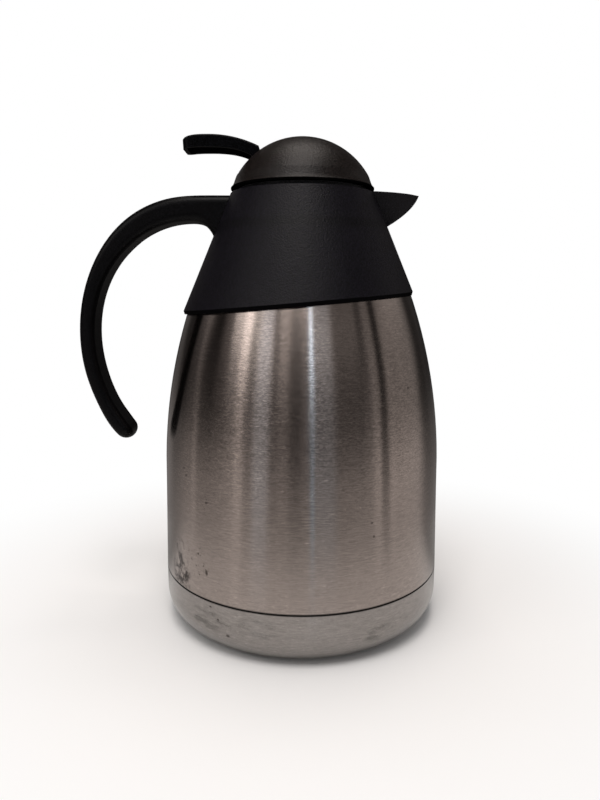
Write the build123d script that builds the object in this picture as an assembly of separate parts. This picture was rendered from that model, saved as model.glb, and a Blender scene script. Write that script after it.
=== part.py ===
from build123d import *
from math import asin, cos, degrees, radians, sin, sqrt, tan
import os

# A 1.5 litre vacuum carafe. Its origin is the centre of the base, on the surface it stands on.
# +Z is up, +X points to the spout and the handle is at -X. All lengths are in millimetres.

# Steel body
SEAM_RADIUS = 66.7            # outside of the body at the base seam, its widest place
SEAM_HEIGHT = 25.5            # middle of the seam above the base
SEAM_GAP = 0.5
WALL_TAPER = 0.8              # how far the wall draws in from the seam to the shoulder
SHOULDER_HEIGHT = 72.0        # where the straight wall meets the shoulder arc
SHOULDER_TOP = 176.0          # where the arc turns in to the neck
SHOULDER_TOP_RADIUS = 42.63
NECK_RISE = 6.5               # rise of the ledge between the arc and the neck
NECK_HEIGHT = 14.0            # from the shoulder's top to the rim
NECK_BORE = 26.0              # radius of the mouth
STEEL = 0.6                   # sheet thickness of both walls
VACUUM_GAP = 4.0
NECK_GAP = 1.2                # vacuum gap inside the neck
LEDGE_ROUND = 5.0             # rounding of the ledge at the arc and at the neck
SLEEVE_FOOT = 16.0            # lower end of the outer shell, inside the base cap
FLASK_FOOT = 22.0
FLASK_CORNER = 14.0
WELD_FIT = 0.05

# Base
CAP_WALL = 0.8
CAP_FIT = 0.2
CAP_CORNER = 15.0
FOOT_INNER = 43.0             # inner radius of the flat ring it stands on
FOOT_RECESS = 1.6
PAN_RIM = 5.0
EVACUATION_HOLE = 1.5
SEAL_RADIUS = 3.5
SEAL_HEIGHT = 0.8
GETTER_RADIUS = 6.0
GETTER_HEIGHT = 2.0
GETTER_OFFSET = 25.0

# Collar
COLLAR_RISE = 11.1            # from the steel rim to the collar's top
COLLAR_TOP_RADIUS = 33.3
COLLAR_HEIGHT = 48.6          # from its top to the slanted lower edge, at the axis
COLLAR_OVERHANG = 1.65        # how far the lower edge stands out from the steel
COLLAR_TILT = 4.88            # slant of the lower edge, degrees, up towards the spout
COLLAR_WALL = 1.5
COLLAR_FIT = 0.15             # least gap between the collar and the steel
LIP_HEIGHT = 1.8              # bevel below the slanted edge, down to the steel
LIP_DRAW = 1.1                # how far the bevel draws in
RIM_ROUND = 0.5
WEB_DROP = 5.6                # from the rim down to the web that the neck ring clamps
WEB_THICKNESS = 1.6
WEB_FIT = 0.4

# Spout
SPOUT_LENGTH = 21.1           # tip of the beak from the collar's top edge
SPOUT_HALF_WIDTH = 12.0       # half the width of the beak where it leaves the cone
SPOUT_DROP = 14.6             # depth of the beak from the collar's top edge to its root
SPOUT_SWELL = 2.6             # how far the keel bows out from a straight line
SPOUT_TIP = 0.7               # rounding of the tip seen from above
SPOUT_WALL = 1.6
SPOUT_FALL = 1.2              # slope of the beak's rim down towards its tip, degrees
SPOUT_SECTIONS = 6

# Neck ring and gasket
GASKET_HEIGHT = 1.2
GASKET_INSET = 0.3
RING_WALL = 2.6
RING_FIT = 0.15
RING_LEDGE = 1.6
RING_INSET = 0.9              # how far the ring's bore stands back from the mouth
RING_RISE = 8.0               # from the steel rim to the ring's top
RING_FLANGE = 2.0
NOTCH_HALF_WIDTH = 9.5

# Stopper
PLUG_INSET = 0.5              # gap between the plug and the mouth, closed by the seal
PLUG_WALL = 3.0
PLUG_LENGTH = 32.5            # from the deck down to the plug's foot
SEAT_GAP = 0.3                # between the stopper's skirt and the neck ring
DECK_RISE = 6.5               # from the neck ring to the deck
DECK_THICKNESS = 2.0
SKIRT_INSET = 3.7             # from the collar's top edge in to the stopper's skirt
SKIRT_WALL = 2.0
WINDOW_RISE = 2.5             # from the steel rim to the pouring window's sill
WELL_RADIUS = 6.6
WELL_WALL = 1.6
WELL_DEPTH = 16.5
WELL_FLOOR = 2.0
VENT_RADIUS = 2.0
GROOVE_RISE = 4.0             # from the plug's foot to the seal groove
GROOVE_HEIGHT = 4.0
GROOVE_DEPTH = 1.4
GASKET_FIT = 0.05
GASKET_END_FIT = 0.1
BASE_FLANGE = 2.0
SPIGOT_HEIGHT = 3.0
SPIGOT_FIT = 0.05
SPIGOT_WALL = 2.0
SEAT_HOLE = 13.0
SEAT_LIP = 0.8
SEAT_LIP_WALL = 1.2

# Valve
STEM_RADIUS = 2.0
STEM_FIT = 0.08
DISC_RADIUS = 17.0
DISC_THICKNESS = 3.0
VALVE_GASKET_HEIGHT = 1.6
VALVE_GASKET_RADIUS = 16.0
VALVE_GASKET_BORE = 11.0
VALVE_CLOSED_GAP = 0.05
NUT_ACROSS = 7.0
NUT_HEIGHT = 2.4
STEM_TAIL = 1.0
BUTTON_RADIUS = 5.8
BUTTON_HEIGHT = 2.0
BUTTON_HUB = 3.4
BUTTON_HUB_HEIGHT = 4.0
BUTTON_RISE = 4.4             # from the deck to the button's top
SPRING_RADIUS = 4.8
SPRING_WIRE = 0.5
SPRING_TURNS = 6
SPRING_END_GAP = 0.05

# Lever and its pivot
PIVOT_X = 17.0
PIVOT_RISE = 7.0              # from the deck to the pin
PIN_RADIUS = 1.5
PIN_FIT = 0.05
PIN_RUNNING_FIT = 0.08
PIN_END = 0.2
EAR_THICKNESS = 2.6
EAR_WIDTH = 6.0
EAR_GAP = 0.5
ARM_HALF_WIDTH = 6.5
ARM_RISE = 5.5                # from the pin to the arm's top beside the thumb piece
ARM_END = 3.6                 # radius of the arm's end round the pin
PAD_RADIUS = 3.0
PAD_GAP = 0.05
LEVER_HALF_WIDTH = 8.2
LEVER_TIP = 12.3              # tip of the thumb lever past its highest point
LEVER_RISE = 14.75            # from the pin to the lever's highest point
LEVER_CROWN_X = 42.0          # distance of that point from the axis
LEVER_DEPTH = 5.5
LEVER_ARCH = 52.0             # radius of the lever's top, from its crown to the dome
LEVER_WALL = 1.8
LEVER_TIP_ROUND = 3.0
LEVER_EDGE_ROUND = 0.8
LEVER_NECK_DEPTH = 6.9        # depth of the lever where it enters the dome
LEVER_TIP_DROP = 2.2
LEVER_TIP_LEAN = 0.2

# Dome
DOME_SWELL = 2.2              # dome's radius over that of the collar's top
DOME_DROP = 13.8              # from the deck down to the dome's centre
DOME_WALL = 2.0
BRIM_INSET = 0.1
BRIM_DROP = 1.6               # from the deck down to the brim's foot
BRIM_HEIGHT = 0.6
BRIM_BLEND = 5.6              # height of the hollow between the brim and the dome
DOME_FIT = 0.25
DOME_LEDGE = 1.0              # ledge inside the dome that sits on the stopper's deck
SLOT_RISE = 4.5               # from the deck to the foot of the lever's slot
SLOT_FRONT = 19.3             # front edge of the slot from the axis
SLOT_FIT = 0.5

# Handle
HANDLE_WIDTH = 17.0
HANDLE_ROOT_WIDTH = 18.5
HANDLE_FIT = 0.05
HANDLE_ROUND = 0.42           # rounding of the section, as a share of its depth
HANDLE_SECTIONS = 16
HANDLE_SPREAD = 1.6           # crowds the sections towards the root, where the shape turns most
HANDLE_NOSE = 3.6             # length of the rounded tip
NOSE_SECTIONS = 4
HANDLE_WALL = 2.2
COVER_START = 0.30            # where the inner cover starts along the handle, 0 root to 1 tip
COVER_END = 0.95
COVER_THICKNESS = 1.8
COVER_LIP = 2.6               # strip of the shell left on each side of the cover
COVER_FIT = 0.15
COVER_END_FIT = 0.001         # end clearance, as a share of the handle's length
COVER_SEAT = 1.2              # ledge under each edge of the cover
COVER_END_SEAT = 0.015
COVER_ROUND = 0.4
COVER_SECTIONS = 9
BOSS_INSET = 0.6              # how far the boss's inner face stands out past the collar's top
BOSS_HALF_WIDTH = 9.5
BOSS_DROP = 1.5               # from the steel rim down to the boss's foot
BOSS_HEIGHT = 7.3
SCREW_RISE = 3.9              # from the boss's foot to the screws
SCREW_SPACING = 10.0
SCREW_RADIUS = 1.75
SCREW_LENGTH = 16.0
SCREW_HEAD = 3.0
SCREW_HEAD_HEIGHT = 1.8
SCREW_CLEARANCE = 0.15
SCREW_BITE = 0.05

HANDLE_BITE = 1.8             # how far the form's root goes in past the collar's top edge
HANDLE_INSET = 1.2            # from the collar's top down to the handle's top
HANDLE_REACH = 73.7           # from the root to the outermost point
HANDLE_DROP = 115.1           # from the handle's top to its tip

# Centre lines of the handle's outer and inner faces, root to tip, in shares of reach and drop
HANDLE_OUTER = [
    (0.0, 0.0), (0.197, 0.0), (0.407, 0.012), (0.673, 0.090), (0.905, 0.281), (1.0, 0.538),
    (0.942, 0.787), (0.746, 1.0),
]
HANDLE_INNER = [
    (0.121, 0.185), (0.141, 0.145), (0.194, 0.112), (0.292, 0.102), (0.516, 0.137),
    (0.794, 0.299), (0.905, 0.538), (0.853, 0.759), (0.656, 0.977),
]

# Sizes and heights that follow from these
shoulder_rise = SHOULDER_TOP - SHOULDER_HEIGHT
shoulder_draw = SEAM_RADIUS - WALL_TAPER - SHOULDER_TOP_RADIUS
shoulder_sweep = (shoulder_rise ** 2 + shoulder_draw ** 2) / (2 * shoulder_draw)
neck_top = SHOULDER_TOP + NECK_HEIGHT
collar_top = neck_top + COLLAR_RISE
collar_edge = collar_top - COLLAR_HEIGHT
web_height = neck_top - WEB_DROP
boss_face = COLLAR_TOP_RADIUS + BOSS_INSET
boss_foot = neck_top - BOSS_DROP
boss_top = boss_foot + BOSS_HEIGHT
screw_height = boss_foot + SCREW_RISE
ring_top = neck_top + RING_RISE
ring_bore = NECK_BORE + RING_INSET
deck_top = ring_top + DECK_RISE
plug_radius = NECK_BORE - PLUG_INSET
plug_foot = deck_top - PLUG_LENGTH
groove_foot = plug_foot + GROOVE_RISE
window_foot = neck_top + WINDOW_RISE
well_foot = deck_top - WELL_DEPTH
skirt_radius = COLLAR_TOP_RADIUS - SKIRT_INSET
button_top = deck_top + BUTTON_RISE
pivot_height = deck_top + PIVOT_RISE
arm_top = pivot_height + ARM_RISE
lever_crown = pivot_height + LEVER_RISE
lever_tip = LEVER_CROWN_X + LEVER_TIP
dome_radius = COLLAR_TOP_RADIUS + DOME_SWELL
dome_centre = deck_top - DOME_DROP
brim_radius = COLLAR_TOP_RADIUS - BRIM_INSET
brim_foot = deck_top - BRIM_DROP
slot_foot = deck_top + SLOT_RISE
spout_reach = COLLAR_TOP_RADIUS + SPOUT_LENGTH
handle_root = COLLAR_TOP_RADIUS - HANDLE_BITE
handle_top = collar_top - HANDLE_INSET


# ---- shared shapes

def spin(outline):
    """Solid of revolution about Z from a closed outline of (radius, height) points or edges."""
    face = outline if isinstance(outline, Sketch) else make_face(Polyline(*outline, close=True))
    return revolve(Plane.XZ * face, axis=Axis.Z)


def tube(outer, inner, foot, top):
    return spin([(inner, foot), (outer, foot), (outer, top), (inner, top)])


def rod(radius, foot, top):
    return spin([(0, foot), (radius, foot), (radius, top), (0, top)])


def box(x_range, half_width, z_range):
    length = x_range[1] - x_range[0]
    height = z_range[1] - z_range[0]
    place = Pos((x_range[0] + x_range[1]) / 2, 0, (z_range[0] + z_range[1]) / 2)
    return place * Box(length, 2 * half_width, height)


def soften(face, point, radius):
    """Round the corner of a flat outline that lies nearest to a point."""
    return fillet(face.vertices().sort_by_distance(Vector(*point))[0], radius)


# ---- steel body

def wall_radius(height, inset=0.0):
    """Radius of the steel body at a height, moved in along its normal by the inset."""
    if height <= SHOULDER_HEIGHT:
        share = (height - SEAM_HEIGHT) / (SHOULDER_HEIGHT - SEAM_HEIGHT)
        return SEAM_RADIUS - inset - WALL_TAPER * max(share, 0)
    centre = SEAM_RADIUS - WALL_TAPER - shoulder_sweep
    return centre + sqrt((shoulder_sweep - inset) ** 2 - (height - SHOULDER_HEIGHT) ** 2)


def vessel(inset, neck_radius, foot, top, foot_corner=0.0):
    """The body's outline, inset, spun to a solid bottle with a straight neck."""
    ledge = SHOULDER_TOP - inset
    middle = (SHOULDER_HEIGHT + ledge) / 2
    foot_point = (wall_radius(foot, inset), foot)
    waist_point = (wall_radius(SHOULDER_HEIGHT, inset), SHOULDER_HEIGHT)
    ledge_point = (wall_radius(ledge, inset), ledge)
    neck_point = (neck_radius, ledge + NECK_RISE)
    edges = [
        Polyline((neck_radius, top), (0, top), (0, foot), foot_point, waist_point),
        ThreePointArc(waist_point, (wall_radius(middle, inset), middle), ledge_point),
        Polyline(ledge_point, neck_point, (neck_radius, top)),
    ]
    face = make_face(edges)
    face = soften(face, ledge_point, LEDGE_ROUND)
    face = soften(face, neck_point, LEDGE_ROUND)
    if foot_corner:
        face = soften(face, foot_point, foot_corner)
    return spin(face)


shell_neck = NECK_BORE + STEEL + NECK_GAP + STEEL
shell_foot = SEAM_HEIGHT + SEAM_GAP / 2
cap_top = SEAM_HEIGHT - SEAM_GAP / 2
sleeve_radius = SEAM_RADIUS - CAP_WALL - CAP_FIT


def make_outer_shell():
    skin = vessel(0, shell_neck, shell_foot, neck_top)
    hollow = vessel(STEEL, shell_neck - STEEL, shell_foot + STEEL, neck_top + 1)
    mouth = rod(sleeve_radius - STEEL, shell_foot - 1, shell_foot + 2 * STEEL)
    sleeve = tube(sleeve_radius, sleeve_radius - STEEL, SLEEVE_FOOT, shell_foot + STEEL)
    return skin - hollow - mouth + sleeve


def make_inner_flask():
    inset = STEEL + VACUUM_GAP
    skin = vessel(inset, NECK_BORE + STEEL, FLASK_FOOT, neck_top + STEEL, FLASK_CORNER)
    hollow = vessel(
        inset + STEEL, NECK_BORE, FLASK_FOOT + STEEL, neck_top + 1, FLASK_CORNER - STEEL
    )
    rim = tube(shell_neck, NECK_BORE, neck_top, neck_top + STEEL)
    return skin + rim - hollow


def make_vacuum_base():
    radius = sleeve_radius - STEEL - WELD_FIT
    pan = rod(radius, SLEEVE_FOOT, SLEEVE_FOOT + PAN_RIM)
    pan -= rod(radius - STEEL, SLEEVE_FOOT + STEEL, SLEEVE_FOOT + PAN_RIM + 1)
    pan -= rod(EVACUATION_HOLE, SLEEVE_FOOT - 1, SLEEVE_FOOT + 1)
    return pan


def make_vacuum_seal():
    bead = rod(SEAL_RADIUS, SLEEVE_FOOT - SEAL_HEIGHT, SLEEVE_FOOT)
    plug = rod(EVACUATION_HOLE - WELD_FIT, SLEEVE_FOOT - SEAL_HEIGHT, SLEEVE_FOOT + STEEL)
    return bead + plug


def make_getter():
    foot = SLEEVE_FOOT + STEEL
    return Pos(GETTER_OFFSET, 0, 0) * rod(GETTER_RADIUS, foot, foot + GETTER_HEIGHT)


def cap_form(inset, top):
    """The base cap's outline with its pressed-up middle, inset by a wall."""
    edge = SEAM_RADIUS - inset
    flat = SEAM_RADIUS - CAP_CORNER
    corner = CAP_CORNER - inset
    turn = (flat + corner * sin(radians(45)), CAP_CORNER - corner * cos(radians(45)))
    step = FOOT_INNER - FOOT_RECESS
    edges = [
        Polyline(
            (edge, CAP_CORNER), (edge, top), (0, top), (0, inset + FOOT_RECESS),
            (step, inset + FOOT_RECESS), (FOOT_INNER, inset), (flat, inset),
        ),
        ThreePointArc((flat, inset), turn, (edge, CAP_CORNER)),
    ]
    return spin(make_face(edges))


def make_base_cap():
    return cap_form(0, cap_top) - cap_form(CAP_WALL, cap_top + 1)


# ---- collar and spout

collar_foot_radius = wall_radius(collar_edge) + COLLAR_OVERHANG
collar_slope = (collar_foot_radius - COLLAR_TOP_RADIUS) / (collar_top - collar_edge)
collar_skirt = collar_edge - 2 * SEAM_RADIUS * tan(radians(COLLAR_TILT))


def collar_radius(height):
    return COLLAR_TOP_RADIUS + collar_slope * (collar_top - height)


def collar_cone(inset, foot, top):
    """The collar's cone, inset level with its wall, between two heights."""
    foot_radius = collar_radius(foot) - inset
    top_radius = collar_radius(top) - inset
    return spin([(0, foot), (foot_radius, foot), (top_radius, top), (0, top)])


def keel_reach(share):
    """How far the beak's keel stands from the axis, from its root at 0 to its tip at 1."""
    root = collar_radius(collar_top - SPOUT_DROP)
    return root + (spout_reach - root) * share + 4 * SPOUT_SWELL * share * (1 - share)


def beak_section(share, inset):
    """One level slice of the beak: a pointed arch with a rounded tip, shrunk by the inset."""
    tip = keel_reach(share) - 1.5 * inset
    half = max(SPOUT_HALF_WIDTH * share, SPOUT_TIP) - inset
    half = max(half, SPOUT_TIP / 2)
    root = collar_radius(collar_top - SPOUT_DROP * (1 - share)) - 3 * COLLAR_WALL
    nose = min(SPOUT_TIP, half / 2)
    bow = root + (tip - root) * 0.62
    side = half * 0.68
    upper = Spline((root, half), (bow, side), (tip - nose, nose), tangents=[(1, -0.1), (1, -1.3)])
    point = ThreePointArc((tip - nose, nose), (tip, 0), (tip - nose, -nose))
    lower = Spline((tip - nose, -nose), (bow, -side), (root, -half), tangents=[(-1, -1.3), (-1, -0.1)])
    back = Line((root, -half), (root, half))
    height = collar_top - SPOUT_DROP * (1 - share)
    return Pos(0, 0, height) * make_face([upper, point, lower, back])


def beak(inset):
    first = inset / SPOUT_DROP * 1.6
    shares = [first + (1 - first) * i / (SPOUT_SECTIONS - 1) for i in range(SPOUT_SECTIONS)]
    return loft([beak_section(share, inset) for share in shares])


def make_collar_skin():
    """The solid cone with its rounded rim and the bevelled, slanted lower edge."""
    skin = collar_cone(0, collar_skirt, collar_top)
    rim = skin.edges().filter_by(GeomType.CIRCLE).sort_by(Axis.Z)[-1]
    below = Pos(0, 0, -SEAM_RADIUS) * Box(6 * SEAM_RADIUS, 4 * SEAM_RADIUS, 2 * SEAM_RADIUS)
    slant = Pos(0, 0, collar_edge - LIP_HEIGHT) * Rot(0, -COLLAR_TILT, 0)
    skin = fillet(rim, RIM_ROUND) - slant * below
    underside = skin.faces().sort_by(Axis.Z)[0]
    return chamfer(underside.edges(), LIP_DRAW, length2=LIP_HEIGHT, reference=underside)


def make_collar():
    bore = collar_cone(COLLAR_WALL, collar_skirt - 1, collar_top + 1)
    web_top = web_height + WEB_THICKNESS
    web = collar_cone(COLLAR_WALL / 2, web_height, web_top)
    web -= rod(shell_neck + WEB_FIT, web_height - 1, web_top + 1)
    boss = box((-collar_radius(boss_foot), -boss_face), BOSS_HALF_WIDTH, (boss_foot, boss_top))
    boss &= collar_cone(COLLAR_WALL / 2, boss_foot - 1, boss_top + 1)
    body = make_collar_skin() + beak(0) - bore + web + boss
    body -= beak(SPOUT_WALL)
    rim_slant = Pos(COLLAR_TOP_RADIUS, 0, collar_top) * Rot(0, SPOUT_FALL, 0)
    above_rim = Pos(spout_reach / 2, 0, SPOUT_DROP / 2)
    body -= rim_slant * above_rim * Box(spout_reach, 4 * SPOUT_HALF_WIDTH, SPOUT_DROP)
    body -= vessel(-COLLAR_FIT, shell_neck + COLLAR_FIT, shell_foot, neck_top)
    for side in (-1, 1):
        hole = rod(SCREW_RADIUS + SCREW_CLEARANCE, boss_face - 1, boss_face + SCREW_LENGTH)
        spot_face = rod(SCREW_HEAD + SCREW_CLEARANCE, boss_face - SCREW_LENGTH / 4, boss_face)
        body -= screw_line(side) * (hole + spot_face)
    return body


# ---- neck ring and gasket

gasket_foot = neck_top + STEEL
gasket_top = gasket_foot + GASKET_HEIGHT


def make_neck_gasket():
    return tube(shell_neck - GASKET_INSET, NECK_BORE + GASKET_INSET, gasket_foot, gasket_top)


def make_neck_ring():
    web_top = web_height + WEB_THICKNESS
    flange_foot = ring_top - RING_FLANGE
    flange = collar_radius(ring_top) - COLLAR_WALL - 2 * RING_FIT
    outside = shell_neck + RING_WALL
    ring = tube(outside, ring_bore, web_top, ring_top)
    ring += tube(flange, outside - 1, flange_foot, ring_top)
    ring -= rod(shell_neck + RING_FIT, web_top - 1, gasket_top)
    notch_foot = gasket_top + RING_LEDGE
    ring -= box((plug_radius / 2, collar_foot_radius), NOTCH_HALF_WIDTH, (notch_foot, ring_top + 1))
    return ring


# ---- stopper

plug_bore = plug_radius - PLUG_WALL
deck_foot = deck_top - DECK_THICKNESS
ear_inner = ARM_HALF_WIDTH + EAR_GAP
ear_outer = ear_inner + EAR_THICKNESS


def across(radius, half_length):
    """A cylinder along Y through the lever's pivot."""
    return Pos(PIVOT_X, 0, pivot_height) * Rot(90, 0, 0) * Cylinder(radius, 2 * half_length)


def make_stopper_body():
    skirt_foot = ring_top + SEAT_GAP
    body = rod(plug_radius, plug_foot, deck_top) - rod(plug_bore, plug_foot - 1, deck_foot)
    body += tube(skirt_radius, skirt_radius - SKIRT_WALL, skirt_foot, deck_top)
    body += tube(skirt_radius, plug_bore, deck_foot, deck_top)
    body += rod(WELL_RADIUS + WELL_WALL, well_foot, deck_top)
    body -= rod(WELL_RADIUS, well_foot + WELL_FLOOR, deck_top + 1)
    body -= rod(STEM_RADIUS + STEM_FIT, well_foot - 1, well_foot + WELL_FLOOR + 1)
    groove_floor = plug_radius - GROOVE_DEPTH
    body -= tube(plug_radius + 1, groove_floor, groove_foot, groove_foot + GROOVE_HEIGHT)
    body -= box((plug_bore - PLUG_WALL, plug_radius + 1), NOTCH_HALF_WIDTH, (window_foot, skirt_foot))
    vent = Pos(-plug_radius, 0, window_foot + VENT_RADIUS) * Rot(0, 90, 0)
    body -= vent * Cylinder(VENT_RADIUS, 4 * PLUG_WALL)
    ears = box((PIVOT_X - EAR_WIDTH / 2, PIVOT_X + EAR_WIDTH / 2), ear_outer, (deck_foot, pivot_height))
    ears += across(EAR_WIDTH / 2, ear_outer)
    ear_gap = (PIVOT_X - EAR_WIDTH, PIVOT_X + EAR_WIDTH)
    ears -= box(ear_gap, ear_inner, (deck_top, pivot_height + EAR_WIDTH))
    return body + ears - across(PIN_RADIUS + PIN_FIT, ear_outer + 1)


def make_stopper_gasket():
    outer = NECK_BORE - GASKET_FIT
    inner = plug_radius - GROOVE_DEPTH + GASKET_FIT
    foot = groove_foot + GASKET_END_FIT
    top = groove_foot + GROOVE_HEIGHT - GASKET_END_FIT
    land = (outer - inner) / 3
    third = (top - foot) / 3
    return spin([
        (inner, foot), (outer - land / 2, foot), (outer, foot + third / 2), (outer - land, foot + third),
        (outer, (foot + top) / 2), (outer - land, top - third), (outer, top - third / 2),
        (outer - land / 2, top), (inner, top),
    ])


def make_stopper_base():
    foot = plug_foot - BASE_FLANGE
    spigot = plug_bore - SPIGOT_FIT
    plate = rod(plug_radius, foot, plug_foot) + rod(spigot, foot, plug_foot + SPIGOT_HEIGHT)
    plate -= rod(spigot - SPIGOT_WALL, plug_foot, plug_foot + SPIGOT_HEIGHT + 1)
    plate += rod(SEAT_HOLE + SEAT_LIP_WALL, foot - SEAT_LIP, foot)
    return plate - rod(SEAT_HOLE, foot - SEAT_LIP - 1, plug_foot + 1)


def make_lever_pin():
    return across(PIN_RADIUS, ear_outer + PIN_END)


# ---- valve

seat_foot = plug_foot - BASE_FLANGE - SEAT_LIP
valve_gasket_top = seat_foot - VALVE_CLOSED_GAP
disc_top = valve_gasket_top - VALVE_GASKET_HEIGHT
disc_foot = disc_top - DISC_THICKNESS
nut_foot = disc_foot - NUT_HEIGHT
button_foot = button_top - BUTTON_HEIGHT


def make_valve_stem():
    return rod(STEM_RADIUS, nut_foot - STEM_TAIL, button_top - BUTTON_HEIGHT / 2)


def make_valve_button():
    button = rod(BUTTON_RADIUS, button_foot, button_top)
    button += rod(BUTTON_HUB, button_foot - BUTTON_HUB_HEIGHT, button_top)
    return button - rod(STEM_RADIUS, button_foot - BUTTON_HUB_HEIGHT - 1, button_top - BUTTON_HEIGHT / 2)


def make_valve_disc():
    step = DISC_THICKNESS / 2
    disc = spin([
        (0, disc_foot), (DISC_RADIUS - 2 * step, disc_foot), (DISC_RADIUS, disc_foot + step),
        (DISC_RADIUS, disc_top), (0, disc_top),
    ])
    disc += rod(VALVE_GASKET_BORE, disc_top, disc_top + VALVE_GASKET_HEIGHT / 2)
    return disc - rod(STEM_RADIUS, disc_foot - 1, disc_top + VALVE_GASKET_HEIGHT)


def make_valve_gasket():
    return tube(VALVE_GASKET_RADIUS, VALVE_GASKET_BORE, disc_top, valve_gasket_top)


def make_disc_nut():
    hexagon = RegularPolygon(NUT_ACROSS / 2, 6, major_radius=False)
    nut = Pos(0, 0, nut_foot) * extrude(hexagon, NUT_HEIGHT)
    return nut - rod(STEM_RADIUS, nut_foot - 1, disc_foot + 1)


def make_return_spring():
    foot = well_foot + WELL_FLOOR + SPRING_END_GAP + SPRING_WIRE
    top = button_foot - SPRING_END_GAP - SPRING_WIRE
    path = Helix((top - foot) / SPRING_TURNS, top - foot, SPRING_RADIUS)
    start = Plane(origin=path @ 0, z_dir=path % 0)
    coil = sweep(start * Circle(SPRING_WIRE), path=path, is_frenet=True)
    return Pos(0, 0, foot) * coil


# ---- lever

lever_neck = -SLOT_FRONT - SLOT_FIT


def lever_side():
    """Side view of the thumb lever outside the dome: an arched bar that turns down at the dome."""
    crown_x = -LEVER_CROWN_X
    tip_x = -lever_tip
    lean = asin((lever_neck - crown_x) / LEVER_ARCH)
    neck_top = lever_crown - LEVER_ARCH * (1 - cos(lean))
    middle = (crown_x + LEVER_ARCH * sin(lean / 2), lever_crown - LEVER_ARCH * (1 - cos(lean / 2)))
    foot = lever_crown - LEVER_DEPTH
    tip_top = (tip_x, lever_crown - LEVER_TIP_DROP)
    tip_foot = (tip_x + LEVER_TIP_LEAN, foot - 0.4 * LEVER_TIP_DROP)
    neck_foot = (lever_neck, neck_top - LEVER_NECK_DEPTH)
    return make_face([
        Spline(tip_top, (crown_x, lever_crown), tangents=[(1, 0.8), (1, 0)]),
        ThreePointArc((crown_x, lever_crown), middle, (lever_neck, neck_top)),
        Line((lever_neck, neck_top), neck_foot),
        Spline(neck_foot, (crown_x, foot), tangents=[(-1, 1.1), (-1, 0)]),
        Spline((crown_x, foot), tip_foot, tangents=[(-1, 0), (-1, -0.25)]),
        Line(tip_foot, tip_top),
    ])


def make_thumb_lever():
    side = Plane.XZ * lever_side()
    tail = extrude(side, LEVER_HALF_WIDTH, both=True)
    tip_edges = tail.edges().filter_by(GeomType.LINE).sort_by(Axis.X)[:4]
    corners = [edge for edge in tip_edges if abs((edge % 0).Y) < 0.5]
    tail = fillet(corners, LEVER_TIP_ROUND)
    tail = fillet(tail.faces().sort_by(Axis.Z)[-1].edges(), LEVER_EDGE_ROUND)
    hollow = extrude(Pos(LEVER_WALL, 0, -LEVER_WALL) * side, LEVER_HALF_WIDTH - LEVER_WALL, both=True)
    hollow &= box((-lever_tip, lever_neck - 2 * LEVER_WALL), LEVER_HALF_WIDTH, (pivot_height, lever_crown))
    neck_foot = side.vertices().sort_by(Axis.Z)[0].Z
    arm_side = Polyline(
        (lever_neck, neck_foot), (PIVOT_X, pivot_height - ARM_END), (PIVOT_X, pivot_height + ARM_END),
        (lever_neck, arm_top), close=True,
    )
    arm = extrude(Plane.XZ * make_face(arm_side), ARM_HALF_WIDTH, both=True)
    arm += across(ARM_END, ARM_HALF_WIDTH)
    pad_height = button_top + PAD_GAP + PAD_RADIUS
    pad = Cylinder(PAD_RADIUS, 2 * ARM_HALF_WIDTH - 2 * PAD_RADIUS)
    arm += Pos(0, 0, pad_height) * Rot(90, 0, 0) * pad
    arm -= across(PIN_RADIUS + PIN_RUNNING_FIT, ARM_HALF_WIDTH + 1)
    return tail - hollow + arm


# ---- dome

def make_dome_cap():
    merge = brim_foot + BRIM_HEIGHT + BRIM_BLEND
    merge_radius = sqrt(dome_radius ** 2 - (merge - dome_centre) ** 2)
    brim_top = brim_foot + BRIM_HEIGHT
    lean = degrees(asin((merge - dome_centre) / dome_radius))
    centre = (0, dome_centre)
    inner = dome_radius - DOME_WALL
    bore = skirt_radius + DOME_FIT
    ledge = skirt_radius - DOME_LEDGE
    ledge_top = dome_centre + sqrt(inner ** 2 - ledge ** 2)
    inner_lean = degrees(asin((ledge_top - dome_centre) / inner))
    tangent = (-(merge - dome_centre), merge_radius)
    seat = deck_top + WELD_FIT
    outline = [
        Spline((brim_radius, brim_top), (merge_radius, merge), tangents=[(-1, 0.75), tangent]),
        CenterArc(centre, dome_radius, lean, 90 - lean),
        Line((0, dome_centre + dome_radius), (0, dome_centre + inner)),
        CenterArc(centre, inner, inner_lean, 90 - inner_lean),
        Polyline(
            (ledge, ledge_top), (ledge, seat), (bore, seat), (bore, brim_foot),
            (brim_radius, brim_foot), (brim_radius, brim_top),
        ),
    ]
    cap = spin(make_face(outline))
    slot = box(
        (-2 * dome_radius, -SLOT_FRONT), LEVER_HALF_WIDTH + SLOT_FIT, (slot_foot, dome_centre + dome_radius)
    )
    return cap - slot


# ---- handle

def handle_line(shares):
    return Spline(*[
        (-handle_root - HANDLE_REACH * out, handle_top - HANDLE_DROP * down) for out, down in shares
    ])


outer_line = handle_line(HANDLE_OUTER)
inner_line = handle_line(HANDLE_INNER)


def handle_section(share, width, low, high, rounding):
    """A cross section of the handle; low and high are depths from its inner face."""
    inner = inner_line @ share
    outward = (outer_line @ share - inner).normalized()
    middle = inner + outward * (low + high) / 2
    place = Plane(
        origin=(middle.X, 0, middle.Y), x_dir=(0, 1, 0), z_dir=(outward.Y, 0, -outward.X)
    )
    return place * RectangleRounded(width, high - low, rounding)


def handle_depth(share):
    return (outer_line @ share - inner_line @ share).length


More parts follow.
